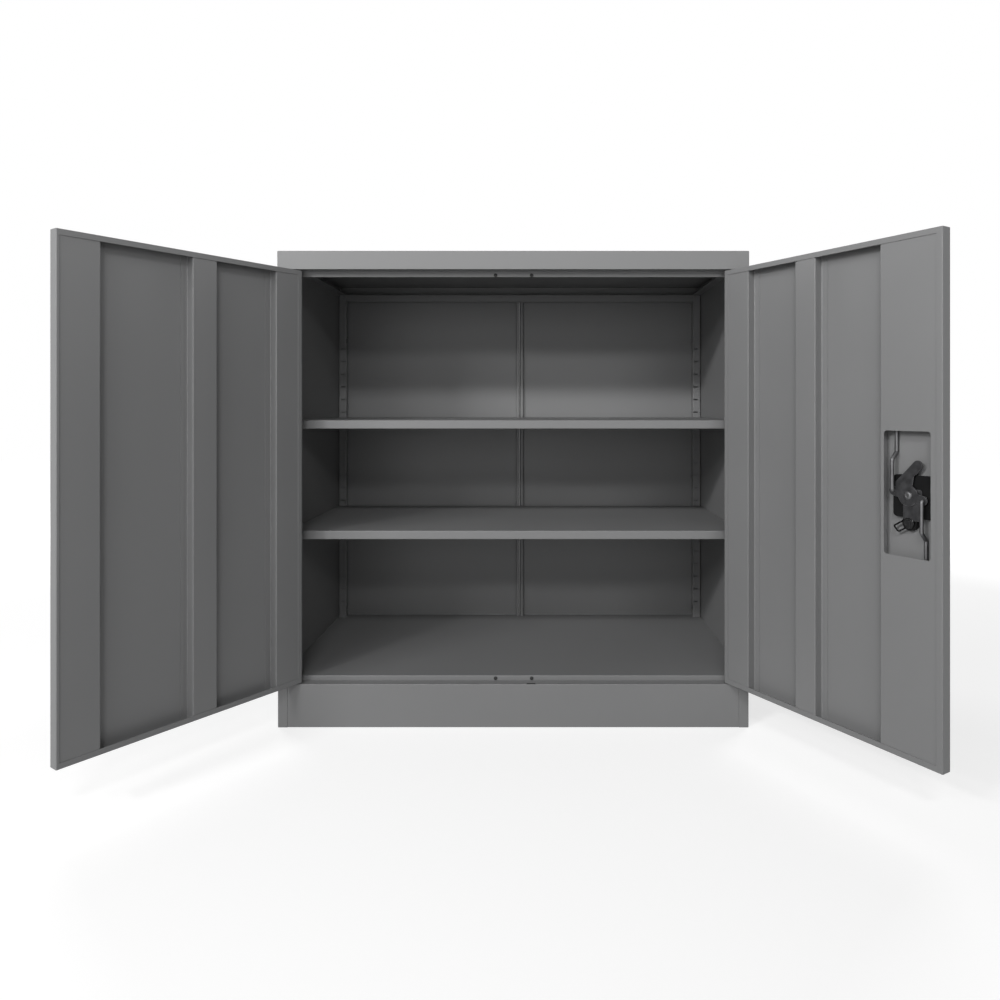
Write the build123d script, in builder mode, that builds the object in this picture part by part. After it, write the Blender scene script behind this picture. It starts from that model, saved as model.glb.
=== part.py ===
# Two-door steel tool cabinet, half height, with two adjustable shelves and a two-rod lock.
# Millimetres. X runs to the right, Y from front to back, Z up. The origin is the middle of the
# cabinet's front edge on the floor. Each door stands open by its own angle, in degrees.
from build123d import *
from math import cos, degrees, radians, sin
import os

os.makedirs("parts", exist_ok=True)

# ---- Sheet and fits ----
sheet = 1.0                  # every folded panel
bend = 1.6                   # radius along the drawn side of a fold
weld_gap = 0.15              # between panels that are welded edge to edge
running_fit = 0.05           # radial, on pins, spindle and plug

# ---- Carcass ----
body_width = 914.0
body_depth = 457.0
cabinet_height = 925.0
side_drop = 21.0             # the sides stop inside the cap, this far below its top
cap_depth = 35.7             # how far the cap is folded down all round
cap_return = 22.0            # its front edge folds back over the doors
post_face = 19.0             # front post: face, return, stop for the door
post_depth = 23.0
stop_width = 16.0
stop_return = 20.5
clip_flange = 22.0           # slotted flange behind the stop
rear_post = 20.0             # rear post: square box with a slotted front
rear_strip_gap = 2.0
rear_slot_inset = 2.0        # slots, from the middle of the rear strip towards the bay
edge_flange = 20.0           # top and bottom edges of the side panels
back_lap = 1.0
seam_width = 17.6            # standing seam in the middle of the back
seam_depth = 9.0
seam_groove = 2.6
hook_slot_height = 10.0
hook_slot_end = 114.5        # lowest and highest hook slot, from the ends of the sides

# ---- Base and rails ----
ledge_height = 84.0          # plinth, and the ledge under the doors
floor_rise = 9.0             # floor of the cabinet above the ledge
lip_setback = 22.0           # rail and floor lips that the doors close against
plinth_flange = 20.0
ledge_hem = 12.0
floor_upstand = 5.5
rail_drop = 11.5             # header lip below the cap's return
rear_rail_height = 18.0
rear_plinth_setback = 10.5
rear_plinth_flange = 16.0

# ---- Shelves ----
slot_pitch = 31.75
slot_start = 39.0            # first slot above the floor of the cabinet
slot_margin = 120.0          # least height left plain above the last slot
slot_width = 11.0
slot_height = 3.0
shelf_slots = (7, 14)        # slots that carry the lower and the upper shelf
shelf_lip = 17.3
shelf_hem = 12.0
shelf_front_gap = 9.0        # behind the front posts
shelf_rear_gap = 2.0
shelf_side_gap = 1.5
clip_width = 10.0
clip_thickness = 1.8
clip_reach = 18.0
clip_hook = 7.0
clip_leg = 9.0

# ---- Doors ----
door_thickness = 20.0
door_side_gap = 1.5          # to the post
door_meeting_gap = 3.0       # between the two doors
door_sill_gap = 2.5          # under the door
door_head_gap = 2.8          # over it
left_opening = 125.1          # from closed, in degrees
right_opening = 121.7         # from closed, in degrees
end_lip = 9.0                # top and bottom edges, folded over the stiffeners
stiffener_foot = 12.0
pan_radius = 1.5
pivot_inset = 8.5            # pin, from the door's hinge edge and its outer face
pivot_depth = 4.5
left_edges = {"hinge_lip": 9.0, "free_lip": 4.5}
right_edges = {"hinge_lip": 9.5, "free_lip": 10.0}
# Faces of the three stiffeners: widths, and how far the middle one stands off the door's middle.
left_bands = {"hinge": 57.6, "middle": 44.6, "middle_shift": 17.5, "free": 63.1}
right_bands = {"hinge": 60.7, "middle": 42.4, "middle_shift": 27.3, "free": 101.3}
band_clearance = 2.5         # hidden edge of a stiffener to the edge of the door

# ---- Hinge pins and bushes ----
pin_radius = 3.0
pin_grip = 13.0              # inside the door
pin_reach = 6.0              # beyond the far face of the ledge or cap return
collar_radius = 4.3
bush_wall = 1.0
bush_flange = 1.2

# ---- Door buffers ----
buffer_offset = 35.5
buffer_radius = 3.6
buffer_head = 1.8
buffer_stem = 2.0
buffer_rise = 3.8            # above the ledge
buffer_drop = 8.3            # below the cap's return

# ---- Lock, in distances across, through and up the right door. A pair is how far a piece
# reaches below and above the spindle. ----
lock_backset = 58.5          # spindle, from the door's free edge
lock_rise = 0.5              # and above the door's middle
lock_turn = 77.0             # from open to locked, in degrees
window_width = 75.9
window_shift = 1.6           # its middle, from the spindle towards the free edge
window_reach = (93.0, 98.8)
window_radius = 5.0
housing_width = 66.0
housing_reach = (34.0, 31.0)
housing_shift = 6.0          # its middle, from the spindle towards the free edge
housing_depth = 9.0
housing_radius = 6.0
plate_margin = 6.0           # escutcheon beyond the housing
plate_thickness = 3.0
barrel_drop = 42.0
barrel_radius = 8.5
barrel_boss = 12.0
barrel_front = 2.0           # beyond the escutcheon
barrel_rear = 12.0
plug_radius = 5.5
key_slot = (7.0, 1.6)         # length, width
bracket_width = 30.0
bracket_reach = (38.0, 10.0)
bracket_shift = 6.0
bracket_thickness = 2.0
cam_clearance = 0.3
cam_thickness = 2.0
arm_reach = 24.6
arm_width = 14.0
tongue_lean = 47.0           # angle of its sides when open
tongue_reach = 45.0          # along them, from the spindle to the middle of its round end
tongue_aside = 20.8          # and across them, from the spindle to its middle line
tongue_length = 33.0
tongue_width = 15.0
heel = ((-20.4, 0.0), (-20.4, 19.6), (-6.0, 35.0), (9.7, 29.9), (7.0, 14.4))  # across, up
hub_radius = 16.0
spindle_radius = 5.0
square_size = 7.6
screw_radius = 2.0
screw_length = 8.0
screw_head = (6.5, 2.4)       # radius, height
knob_hub = (13.0, 9.0)        # radius, length
knob_grip = (62.0, 14.0, 14.0)  # length, width, height
knob_taper = 5.0             # degrees
wire_radius = 0.8            # clip beside the barrel
wire_bend = 3.0
wire_loop = ((-9.4, 2.2), (-25.0, -7.0), (-17.5, -15.5), (-6.0, -8.6))  # from the barrel

# ---- Lock rods ----
rod_radius = 3.0
rod_bend = 3.2
rod_gap = 0.2                # over the cam
rod_depth = 4.3              # of the long run, beside the door's skin
joggle_start = 48.5          # from the rod's hook
joggle_length = 12.0
keeper_length = 17.0         # slots that the rods shoot into
keeper_shift = 1.5
guide_length = 14.0
guide_clearance = 0.6

# ---- Worked out ----
half_width = body_width / 2
side_height = cabinet_height - side_drop
cap_bottom = cabinet_height - cap_depth
floor_height = ledge_height + floor_rise
first_slot = floor_height + slot_start
post_x = half_width - post_face
stop_x = post_x - stop_width
flange_y = post_depth + stop_return
back_y = body_depth - back_lap
rear_post_x = half_width - rear_post - sheet
rear_post_y = back_y - rear_post
wall_x = half_width - sheet
door_corner_x = post_x - door_side_gap
door_width = door_corner_x - door_meeting_gap / 2
door_bottom = ledge_height + door_sill_gap
door_top = cap_bottom - door_head_gap
door_height = door_top - door_bottom
pivot_x = door_corner_x - pivot_inset
rail_bottom = cap_bottom - rail_drop
middle_height = (door_bottom + door_top) / 2
front_slot_x = stop_x + clip_flange / 2
rear_slot_x = rear_post_x + (rear_post - rear_strip_gap) / 2 - rear_slot_inset
slot_count = int((side_height - slot_margin - first_slot) / slot_pitch) + 1
lock_across = door_width - lock_backset
lock_height = middle_height + lock_rise
sides = {"left": -1, "right": 1}


class FoldedSheet(BaseSketchObject):
    # One sheet folded along a run of points. The points lie on its visible face, and on_left
    # says that the metal lies to the left of the run.
    def __init__(self, points, on_left=True, mode=Mode.ADD):
        with BuildSketch() as section:
            with BuildLine():
                FilletPolyline(*points, radius=bend)
                offset(amount=sheet, side=Side.LEFT if on_left else Side.RIGHT)
            make_face()
        super().__init__(section.sketch, align=None, mode=mode)


def save(block, label):
    block.part.label = label
    export_step(block.part, f"parts/{label}.step")


def box_between(x, y, z, mode=Mode.ADD):
    # A box from its low and high limits along each axis.
    centre = tuple((low + high) / 2 for low, high in (x, y, z))
    with Locations(centre):
        Box(x[1] - x[0], y[1] - y[0], z[1] - z[0], mode=mode)


def mirrored(side, low, high):
    # The span from low to high, measured outward from the middle, on one side.
    return (low, high) if side > 0 else (-high, -low)


def slot_heights():
    return [first_slot + slot_pitch * index for index in range(slot_count)]


def reach_span(reach):
    # Heights of a piece of the lock, from how far it reaches below and above the spindle.
    return lock_height - reach[0], lock_height + reach[1]


# ---- Side panels: front post, wall and rear post are one folded sheet ----
def side_panel(side):
    run = [
        (stop_x + clip_flange, flange_y),
        (stop_x, flange_y),
        (stop_x, post_depth),
        (post_x, post_depth),
        (post_x, 0),
        (half_width, 0),
        (half_width, back_y),
        (rear_post_x, back_y),
        (rear_post_x, rear_post_y),
        (wall_x - rear_strip_gap, rear_post_y),
    ]
    front_slots = [(side * front_slot_x, height) for height in slot_heights()]
    rear_slots = [(side * rear_slot_x, height) for height in slot_heights()]
    with BuildPart() as panel:
        with BuildSketch():
            FoldedSheet([(side * x, y) for x, y in run], on_left=side > 0)
        extrude(amount=side_height)
        for low in (0, side_height - sheet):
            box_between(
                mirrored(side, wall_x - edge_flange, wall_x + sheet / 2),
                (flange_y + sheet, rear_post_y - sheet),
                (low, low + sheet),
            )
        with BuildSketch(Plane.XZ.offset(-flange_y)):
            with Locations(*front_slots):
                Rectangle(slot_width, slot_height)
        extrude(amount=sheet, mode=Mode.SUBTRACT)
        with BuildSketch(Plane.XZ.offset(-rear_post_y)):
            with Locations(*rear_slots):
                Rectangle(slot_width, slot_height)
        extrude(amount=-sheet, mode=Mode.SUBTRACT)
        for height in (hook_slot_end, side_height / 2, side_height - hook_slot_end):
            box_between(
                mirrored(side, rear_post_x - sheet, rear_post_x + 2 * sheet),
                (rear_post_y + 2 * bend, back_y - 2 * bend),
                (height - hook_slot_height / 2, height + hook_slot_height / 2),
                mode=Mode.SUBTRACT,
            )
    return panel


for name, side in sides.items():
    save(side_panel(side), f"{name}_side_panel")


# ---- Back: two halves that meet in a standing seam, and one is the floor of its groove ----
lap_side = sides["right"]


def back_panel(side):
    seam_edge = seam_width / 2
    groove_edge = seam_groove / 2
    run = [
        (half_width - weld_gap, back_y),
        (seam_edge, back_y),
        (seam_edge, back_y - seam_depth),
        (groove_edge, back_y - seam_depth),
    ]
    if side == lap_side:
        run += [(groove_edge, back_y), (-groove_edge + weld_gap, back_y)]
    else:
        run.append((groove_edge, back_y))
    with BuildPart() as panel:
        with BuildSketch(Plane.XY.offset(weld_gap)):
            FoldedSheet([(side * x, y) for x, y in run], on_left=side < 0)
        extrude(amount=side_height - weld_gap)
    return panel


for name, side in sides.items():
    save(back_panel(side), f"{name}_back_panel")

# ---- Cap: a shallow pan over the top, its front edge folded back above the doors ----
rods_across = {"upper": -1, "lower": 1}
arm_angle = radians(lock_turn - 90)
rod_across = {}
rod_hook_up = {}
for rod, way in rods_across.items():
    rod_across[rod] = lock_across + way * arm_reach * cos(arm_angle)
    rod_hook_up[rod] = lock_height + way * arm_reach * sin(arm_angle)
guide_width = 2 * (rod_radius + guide_clearance)
cap_side = half_width + sheet

with BuildPart() as top_cap:
    box_between((-cap_side, cap_side), (-sheet, body_depth + sheet), (cap_bottom, cabinet_height))
    corners = top_cap.edges().filter_by(Axis.Z)
    fillet(corners + top_cap.faces().sort_by(Axis.Z)[-1].edges(), radius=bend)
    box_between(
        (-half_width, half_width),
        (0, body_depth),
        (cap_bottom - sheet, cabinet_height - sheet),
        mode=Mode.SUBTRACT,
    )
    box_between(
        (-post_x + weld_gap, post_x - weld_gap),
        (-sheet / 2, cap_return - sheet),
        (cap_bottom, cap_bottom + sheet),
    )
    with Locations(*[(side * pivot_x, pivot_depth, cap_bottom + sheet / 2) for side in sides.values()]):
        Cylinder(pin_radius + bush_wall + 2 * running_fit, 2 * sheet, mode=Mode.SUBTRACT)
    with Locations((door_corner_x - rod_across["upper"] - keeper_shift, rod_depth, cap_bottom)):
        Box(keeper_length, guide_width, 4 * sheet, mode=Mode.SUBTRACT)
save(top_cap, "top_cap")

# ---- Header rail: the lip behind the cap's return that the doors close against ----
with BuildPart() as header_rail:
    rail_top = cap_bottom + 2 * sheet
    with BuildSketch(Plane.YZ.offset(-stop_x + weld_gap)):
        FoldedSheet(
            [
                (lip_setback + sheet, rail_bottom),
                (lip_setback + sheet, rail_top),
                (sheet, rail_top),
            ]
        )
    extrude(amount=2 * (stop_x - weld_gap))
    with Locations((door_corner_x - rod_across["upper"] - keeper_shift, rod_depth, rail_top)):
        Box(keeper_length, guide_width, 4 * sheet, mode=Mode.SUBTRACT)
    with BuildSketch(Plane.XZ.offset(-lip_setback)):
        with Locations(*[(way * buffer_offset, cap_bottom - buffer_drop) for way in (-1, 1)]):
            Circle(buffer_stem + running_fit)
    extrude(amount=-2 * sheet, mode=Mode.SUBTRACT)
save(header_rail, "header_rail")

# ---- Rear rail, level with the rear posts ----
with BuildPart() as rear_rail:
    rear_rail_bottom = side_height - rear_rail_height
    with BuildSketch(Plane.YZ.offset(-rear_post_x)):
        FoldedSheet(
            [
                (back_y - seam_depth - weld_gap, rear_rail_bottom),
                (rear_post_y, rear_rail_bottom),
                (rear_post_y, side_height),
                (back_y - seam_depth - weld_gap, side_height),
            ],
            on_left=False,
        )
    extrude(amount=2 * rear_post_x)
save(rear_rail, "rear_rail")

# ---- Floor pan ----
with BuildPart() as floor_pan:
    floor_rear = back_y - weld_gap
    with BuildSketch(Plane.YZ.offset(-wall_x + weld_gap)):
        FoldedSheet(
            [
                (lip_setback, ledge_height - ledge_hem),
                (lip_setback, floor_height),
                (floor_rear - sheet, floor_height),
                (floor_rear - sheet, floor_height + floor_upstand),
            ],
            on_left=False,
        )
    extrude(amount=2 * (wall_x - weld_gap))
    pan_span = (ledge_height - ledge_hem - sheet, floor_height + floor_upstand + sheet)
    for side in sides.values():
        post_span = mirrored(side, stop_x - weld_gap, half_width)
        box_between(post_span, (0, flange_y + weld_gap), pan_span, mode=Mode.SUBTRACT)
        rear_span = mirrored(side, rear_post_x - weld_gap, half_width)
        box_between(rear_span, (rear_post_y - weld_gap, body_depth), pan_span, mode=Mode.SUBTRACT)
    seam_edge = seam_width / 2 + bend + weld_gap
    seam_y = back_y - seam_depth - weld_gap
    box_between((-seam_edge, seam_edge), (seam_y, body_depth), pan_span, mode=Mode.SUBTRACT)
    with BuildSketch(Plane.XZ.offset(-lip_setback)):
        with Locations(*[(way * buffer_offset, ledge_height + buffer_rise) for way in (-1, 1)]):
            Circle(buffer_stem + running_fit)
    extrude(amount=-2 * sheet, mode=Mode.SUBTRACT)
save(floor_pan, "floor_pan")

# ---- Plinths ----
with BuildPart() as front_plinth:
    with BuildSketch(Plane.YZ.offset(-post_x + weld_gap)):
        FoldedSheet(
            [
                (plinth_flange, 0),
                (0, 0),
                (0, ledge_height),
                (lip_setback, ledge_height),
                (lip_setback, ledge_height - ledge_hem),
            ],
            on_left=False,
        )
    extrude(amount=2 * (post_x - weld_gap))
    with Locations(*[(side * pivot_x, pivot_depth, ledge_height - sheet / 2) for side in sides.values()]):
        Cylinder(pin_radius + bush_wall + 2 * running_fit, 2 * sheet, mode=Mode.SUBTRACT)
    with Locations((door_corner_x - rod_across["lower"] - keeper_shift, rod_depth, ledge_height)):
        Box(keeper_length, guide_width, 4 * sheet, mode=Mode.SUBTRACT)
save(front_plinth, "front_plinth")

with BuildPart() as rear_plinth:
    plinth_y = back_y - rear_plinth_setback
    with BuildSketch(Plane.YZ.offset(-rear_post_x)):
        FoldedSheet(
            [
                (plinth_y - rear_plinth_flange, 0),
                (plinth_y, 0),
                (plinth_y, floor_height - sheet),
                (plinth_y - rear_plinth_flange, floor_height - sheet),
            ],
            on_left=True,
        )
    extrude(amount=2 * rear_post_x)
save(rear_plinth, "rear_plinth")


# ---- Shelves: trays with their edges folded down and under ----
def shelf_seat(slot):
    return first_slot + slot_pitch * slot + slot_height / 2


def shelf(seat):
    front = flange_y + shelf_front_gap
    rear = rear_post_y - shelf_rear_gap
    top = seat + shelf_lip
    half_length = wall_x - shelf_side_gap
    with BuildPart() as tray:
        with BuildSketch(Plane.YZ.offset(-half_length)):
            FoldedSheet(
                [
                    (front + shelf_hem, seat),
                    (front, seat),
                    (front, top),
                    (rear, top),
                    (rear, seat),
                    (rear - shelf_hem, seat),
                ],
                on_left=False,
            )
        extrude(amount=2 * half_length)
        for side in sides.values():
            box_between(
                mirrored(side, half_length - sheet, half_length),
                (front + sheet / 2, rear - sheet / 2),
                (seat + bend, top - sheet / 2),
            )
    return tray


# ---- Shelf clips: one profile, hooked into a slot at each corner ----
def shelf_clips(slot):
    level = first_slot + slot_pitch * slot
    over = slot_height / 2
    under = over - clip_thickness
    profile = [
        (clip_reach, over),
        (-sheet - clip_thickness, over),
        (-sheet - clip_thickness, -clip_hook),
        (-sheet, -clip_hook),
        (-sheet, under),
        (0, under),
        (0, -clip_leg),
        (clip_thickness, -clip_leg),
        (clip_thickness, under),
        (clip_reach, under),
    ]
    with BuildPart() as clips:
        for side in sides.values():
            for slot_x, face_y, out in ((front_slot_x, flange_y, 1), (rear_slot_x, rear_post_y, -1)):
                with BuildSketch(Plane.YZ.offset(side * slot_x)):
                    with BuildLine():
                        Polyline(*[(face_y + out * y, level + z) for y, z in profile], close=True)
                    make_face()
                extrude(amount=clip_width / 2, both=True)
    return clips


for name, slot in zip(("lower", "upper"), shelf_slots):
    save(shelf(shelf_seat(slot)), f"{name}_shelf")
    save(shelf_clips(slot), f"{name}_shelf_clips")

# ---- Hinge bushes, in the ledge and in the cap's return ----
bush_radius = pin_radius + running_fit + bush_wall
with BuildPart() as hinge_bushes:
    for side in sides.values():
        for face, outward in ((ledge_height, 1), (cap_bottom, -1)):
            with BuildSketch(Plane.XY.offset(face)):
                with Locations((side * pivot_x, pivot_depth)):
                    Circle(collar_radius)
            extrude(amount=outward * bush_flange)
            with BuildSketch(Plane.XY.offset(face)):
                with Locations((side * pivot_x, pivot_depth)):
                    Circle(bush_radius)
            extrude(amount=-outward * sheet)
    with Locations(*[(side * pivot_x, pivot_depth, middle_height) for side in sides.values()]):
        Cylinder(pin_radius + running_fit, cabinet_height, mode=Mode.SUBTRACT)
save(hinge_bushes, "hinge_bushes")

# ---- Door buffers, pushed into the two lips ----
with BuildPart() as door_buffers:
    buffer_places = [
        (way * buffer_offset, height)
        for way in (-1, 1)
        for height in (ledge_height + buffer_rise, cap_bottom - buffer_drop)
    ]
    with BuildSketch(Plane.XZ.offset(-lip_setback)):
        with Locations(*buffer_places):
            Circle(buffer_radius)
    extrude(amount=buffer_head)
    chamfer(door_buffers.faces().sort_by(Axis.Y)[:4].edges(), length=buffer_head / 2)
    with BuildSketch(Plane.XZ.offset(-lip_setback)):
        with Locations(*buffer_places):
            Circle(buffer_stem)
    extrude(amount=-3 * sheet)
save(door_buffers, "door_buffers")


# ---- Doors. In a door's own frame, "across" runs from its hinge edge to its free edge, "depth"
# from its outer face inward, and heights are the cabinet's own. ----
def door_frame(side, opening):
    turn = radians(side * opening)
    corner = Vector(side * pivot_inset, -pivot_depth).rotate(Axis.Z, degrees(turn))
    origin = Vector(side * pivot_x, pivot_depth) + corner
    return Plane(origin=origin, x_dir=(cos(turn), sin(turn), 0), z_dir=(0, 0, 1))


def across_plane(frame, depth):
    # Faces outward from the door at the given depth; its sketches are in across and height.
    return Plane(origin=frame.origin + frame.y_dir * depth, x_dir=frame.x_dir, z_dir=-frame.y_dir)


def depth_plane(frame, side, across):
    # Cuts through the door at the given distance across; its sketches are in depth and height.
    return Plane(origin=frame.origin - frame.x_dir * side * across, x_dir=frame.y_dir, z_dir=frame.x_dir)


frames = {
    "left": door_frame(sides["left"], left_opening),
    "right": door_frame(sides["right"], right_opening),
}
lock_side = sides["right"]
lock_frame = frames["right"]
meeting_depth = housing_depth + bracket_thickness + cam_clearance


# The outer pan of a door: skin, four edges, and the lips folded in over the stiffeners.
def door_pan(side, frame, edges):
    middle = (-side * door_width / 2, middle_height)
    lips_middle = (-side * (door_width + edges["hinge_lip"] - edges["free_lip"]) / 2, middle_height)
    lips_width = door_width - edges["hinge_lip"] - edges["free_lip"]
    with BuildPart() as pan:
        with BuildSketch(across_plane(frame, door_thickness)):
            with Locations(middle):
                Rectangle(door_width, door_height)
        extrude(amount=door_thickness)
        fillet(pan.edges().filter_by(Axis.Z), radius=pan_radius)
        with BuildSketch(across_plane(frame, door_thickness - sheet)):
            with Locations(middle):
                Rectangle(door_width - 2 * sheet, door_height - 2 * sheet)
        extrude(amount=door_thickness - 2 * sheet, mode=Mode.SUBTRACT)
        with BuildSketch(across_plane(frame, door_thickness)):
            with Locations(lips_middle):
                Rectangle(lips_width, door_height - 2 * end_lip)
        extrude(amount=1.5 * sheet, mode=Mode.SUBTRACT)
        with BuildSketch(frame.offset(door_bottom)):
            with Locations((-side * pivot_inset, pivot_depth)):
                Circle(pin_radius + running_fit)
        extrude(amount=door_height, mode=Mode.SUBTRACT)
    return pan


left_door_pan = door_pan(sides["left"], frames["left"], left_edges)
save(left_door_pan, "left_door_pan")

with BuildPart() as right_door_pan:
    add(door_pan(lock_side, lock_frame, right_edges).part)
    # Cut-out for the lock housing, and slots that guide the rods.
    with BuildSketch(across_plane(lock_frame, 2 * sheet)):
        low, high = reach_span(housing_reach)
        with Locations((-lock_side * (lock_across + housing_shift), (low + high) / 2)):
            RectangleRounded(housing_width, high - low, housing_radius)
        with Locations((-lock_side * lock_across, lock_height - barrel_drop)):
            Circle(barrel_boss)
    extrude(amount=3 * sheet, mode=Mode.SUBTRACT)
    with BuildSketch(lock_frame.offset(door_bottom - sheet)):
        with Locations((-lock_side * rod_across["lower"], rod_depth)):
            Rectangle(guide_length, guide_width)
    extrude(amount=3 * sheet, mode=Mode.SUBTRACT)
    with BuildSketch(lock_frame.offset(door_top - 2 * sheet)):
        with Locations((-lock_side * rod_across["upper"], rod_depth)):
            Rectangle(guide_length, guide_width)
    extrude(amount=3 * sheet, mode=Mode.SUBTRACT)
save(right_door_pan, "right_door_pan")


# Stiffeners, folded channels on the skin that pass under the end lips. Their feet lie on the
# skin and their faces against the lips.
band_foot = 2 * sheet
band_face = door_thickness - sheet


def stiffener(side, frame, run, on_left):
    with BuildPart() as channel:
        with BuildSketch(frame.offset(door_bottom + sheet + weld_gap)):
            points = [(-side * across, depth) for across, depth in run]
            FoldedSheet(points, on_left=on_left == (side < 0))
        extrude(amount=door_height - 2 * (sheet + weld_gap))
    return channel


def hinge_stiffener_run(bands):
    edge = bands["hinge"]
    return [
        (edge + stiffener_foot, band_foot),
        (edge, band_foot),
        (edge, band_face),
        (band_clearance, band_face),
    ]


def middle_stiffener_run(bands):
    middle = door_width / 2 - bands["middle_shift"]
    low = middle - bands["middle"] / 2
    high = middle + bands["middle"] / 2
    return [
        (low - stiffener_foot, band_foot),
        (low, band_foot),
        (low, band_face),
        (high, band_face),
        (high, band_foot),
        (high + stiffener_foot, band_foot),
    ]


def free_stiffener_run(bands):
    edge = door_width - bands["free"]
    return [
        (edge - stiffener_foot, band_foot),
        (edge, band_foot),
        (edge, band_face),
        (door_width - band_clearance, band_face),
    ]


for name, bands in (("left", left_bands), ("right", right_bands)):
    side, frame = sides[name], frames[name]
    save(stiffener(side, frame, hinge_stiffener_run(bands), True), f"{name}_hinge_stiffener")
    save(stiffener(side, frame, middle_stiffener_run(bands), False), f"{name}_middle_stiffener")

left_free_stiffener = stiffener(sides["left"], frames["left"], free_stiffener_run(left_bands), False)
save(left_free_stiffener, "left_free_stiffener")

with BuildPart() as right_free_stiffener:
    add(stiffener(lock_side, lock_frame, free_stiffener_run(right_bands), False).part)
    with BuildSketch(across_plane(lock_frame, door_thickness)):
        low, high = reach_span(window_reach)
        with Locations((-lock_side * (lock_across + window_shift), (low + high) / 2)):
            RectangleRounded(window_width, high - low, window_radius)
    extrude(amount=3 * sheet, mode=Mode.SUBTRACT)
save(right_free_stiffener, "right_free_stiffener")


# Hinge pins, two to a door, each with a collar under the door.
def hinge_pins(side, frame):
    with BuildPart() as pins:
        with BuildSketch(frame.offset(door_top - pin_grip)):
            with Locations((-side * pivot_inset, pivot_depth)):
                Circle(pin_radius)
        extrude(amount=pin_grip + cap_bottom - door_top + pin_reach)
        with BuildSketch(frame.offset(ledge_height - pin_reach)):
            with Locations((-side * pivot_inset, pivot_depth)):
                Circle(pin_radius)
        extrude(amount=pin_grip + door_sill_gap + pin_reach)
        with BuildSketch(frame.offset(ledge_height + bush_flange)):
            with Locations((-side * pivot_inset, pivot_depth)):
                Circle(collar_radius)
        extrude(amount=door_sill_gap - bush_flange)
    return pins


for name, side in sides.items():
    save(hinge_pins(side, frames[name]), f"{name}_hinge_pins")

# ---- Lock. Its frame is the right door's; across grows away from the hinge. ----
lock_point = (-lock_side * lock_across, lock_height)
barrel_point = (-lock_side * lock_across, lock_height - barrel_drop)
spindle_end = meeting_depth + cam_thickness


def turned(angle, reach):
    # A point in the lock's plane, at an angle above the line from the spindle to the free edge.
    return (
        -lock_side * (lock_across + reach * cos(radians(angle))),
        lock_height + reach * sin(radians(angle)),
    )


# Housing: escutcheon outside the skin, body through it, and a boss round the barrel.
with BuildPart() as lock_housing:
    low, high = reach_span(housing_reach)
    housing_height = high - low
    housing_middle = (-lock_side * (lock_across + housing_shift), (low + high) / 2)
    housing_fit = 2 * weld_gap
    with BuildSketch(across_plane(lock_frame, housing_depth)):
        with Locations(housing_middle):
            RectangleRounded(housing_width - housing_fit, housing_height - housing_fit, housing_radius)
        with Locations(barrel_point):
            Circle(barrel_boss - weld_gap)
    extrude(amount=housing_depth)
    plate_low = lock_height - barrel_drop - barrel_boss - plate_margin
    plate_high = high + plate_margin
    with BuildSketch(across_plane(lock_frame, 0)):
        with Locations((housing_middle[0], (plate_low + plate_high) / 2)):
            plate_width = housing_width + 2 * plate_margin
            RectangleRounded(plate_width, plate_high - plate_low, 2 * housing_radius)
    extrude(amount=plate_thickness)
    fillet(
        lock_housing.faces().sort_by(Axis(lock_frame.origin, lock_frame.y_dir))[0].edges(),
        radius=plate_thickness / 2,
    )
    with BuildSketch(across_plane(lock_frame, housing_depth)):
        with Locations(lock_point):
            Circle(spindle_radius + running_fit)
        with Locations(barrel_point):
            Circle(barrel_radius + running_fit)
    extrude(amount=housing_depth + 2 * plate_thickness, mode=Mode.SUBTRACT)
save(lock_housing, "lock_housing")

# Bracket behind the cam, notched round the barrel.
with BuildPart() as lock_bracket:
    with BuildSketch(across_plane(lock_frame, housing_depth + bracket_thickness)):
        low, high = reach_span(bracket_reach)
        with Locations((-lock_side * (lock_across + bracket_shift), (low + high) / 2)):
            RectangleRounded(bracket_width, high - low, 2 * bend)
        with Locations(lock_point):
            Circle(spindle_radius + running_fit, mode=Mode.SUBTRACT)
        with Locations(barrel_point):
            Circle(barrel_radius + 2 * running_fit, mode=Mode.SUBTRACT)
    extrude(amount=bracket_thickness)
save(lock_bracket, "lock_bracket")

# Turn knob with its spindle, squared at the end for the cam.
with BuildPart() as lock_knob:
    hub_size, hub_length = knob_hub
    grip_length, grip_width, grip_height = knob_grip
    hub_face = -plate_thickness - cam_clearance
    with BuildSketch(across_plane(lock_frame, hub_face)):
        with Locations(lock_point):
            Circle(hub_size)
    extrude(amount=hub_length)
    with BuildSketch(across_plane(lock_frame, hub_face - hub_length / 2)):
        with Locations(Location((*lock_point, 0), (0, 0, -lock_side * (lock_turn - 90)))):
            SlotOverall(grip_length, grip_width)
    extrude(amount=grip_height, taper=knob_taper)
    outer_faces = lock_knob.faces().sort_by(Axis(lock_frame.origin, lock_frame.y_dir))
    fillet(outer_faces[0].edges(), radius=2 * bend)
    with BuildSketch(across_plane(lock_frame, meeting_depth)):
        with Locations(lock_point):
            Circle(spindle_radius)
    extrude(amount=meeting_depth - hub_face)
    with BuildSketch(across_plane(lock_frame, spindle_end)):
        with Locations(Location((*lock_point, 0), (0, 0, -lock_side * lock_turn))):
            Rectangle(square_size, square_size)
    extrude(amount=cam_thickness)
    with BuildSketch(across_plane(lock_frame, spindle_end)):
        with Locations(lock_point):
            Circle(screw_radius + running_fit)
    extrude(amount=screw_length + sheet, mode=Mode.SUBTRACT)
save(lock_knob, "lock_knob")

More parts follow.
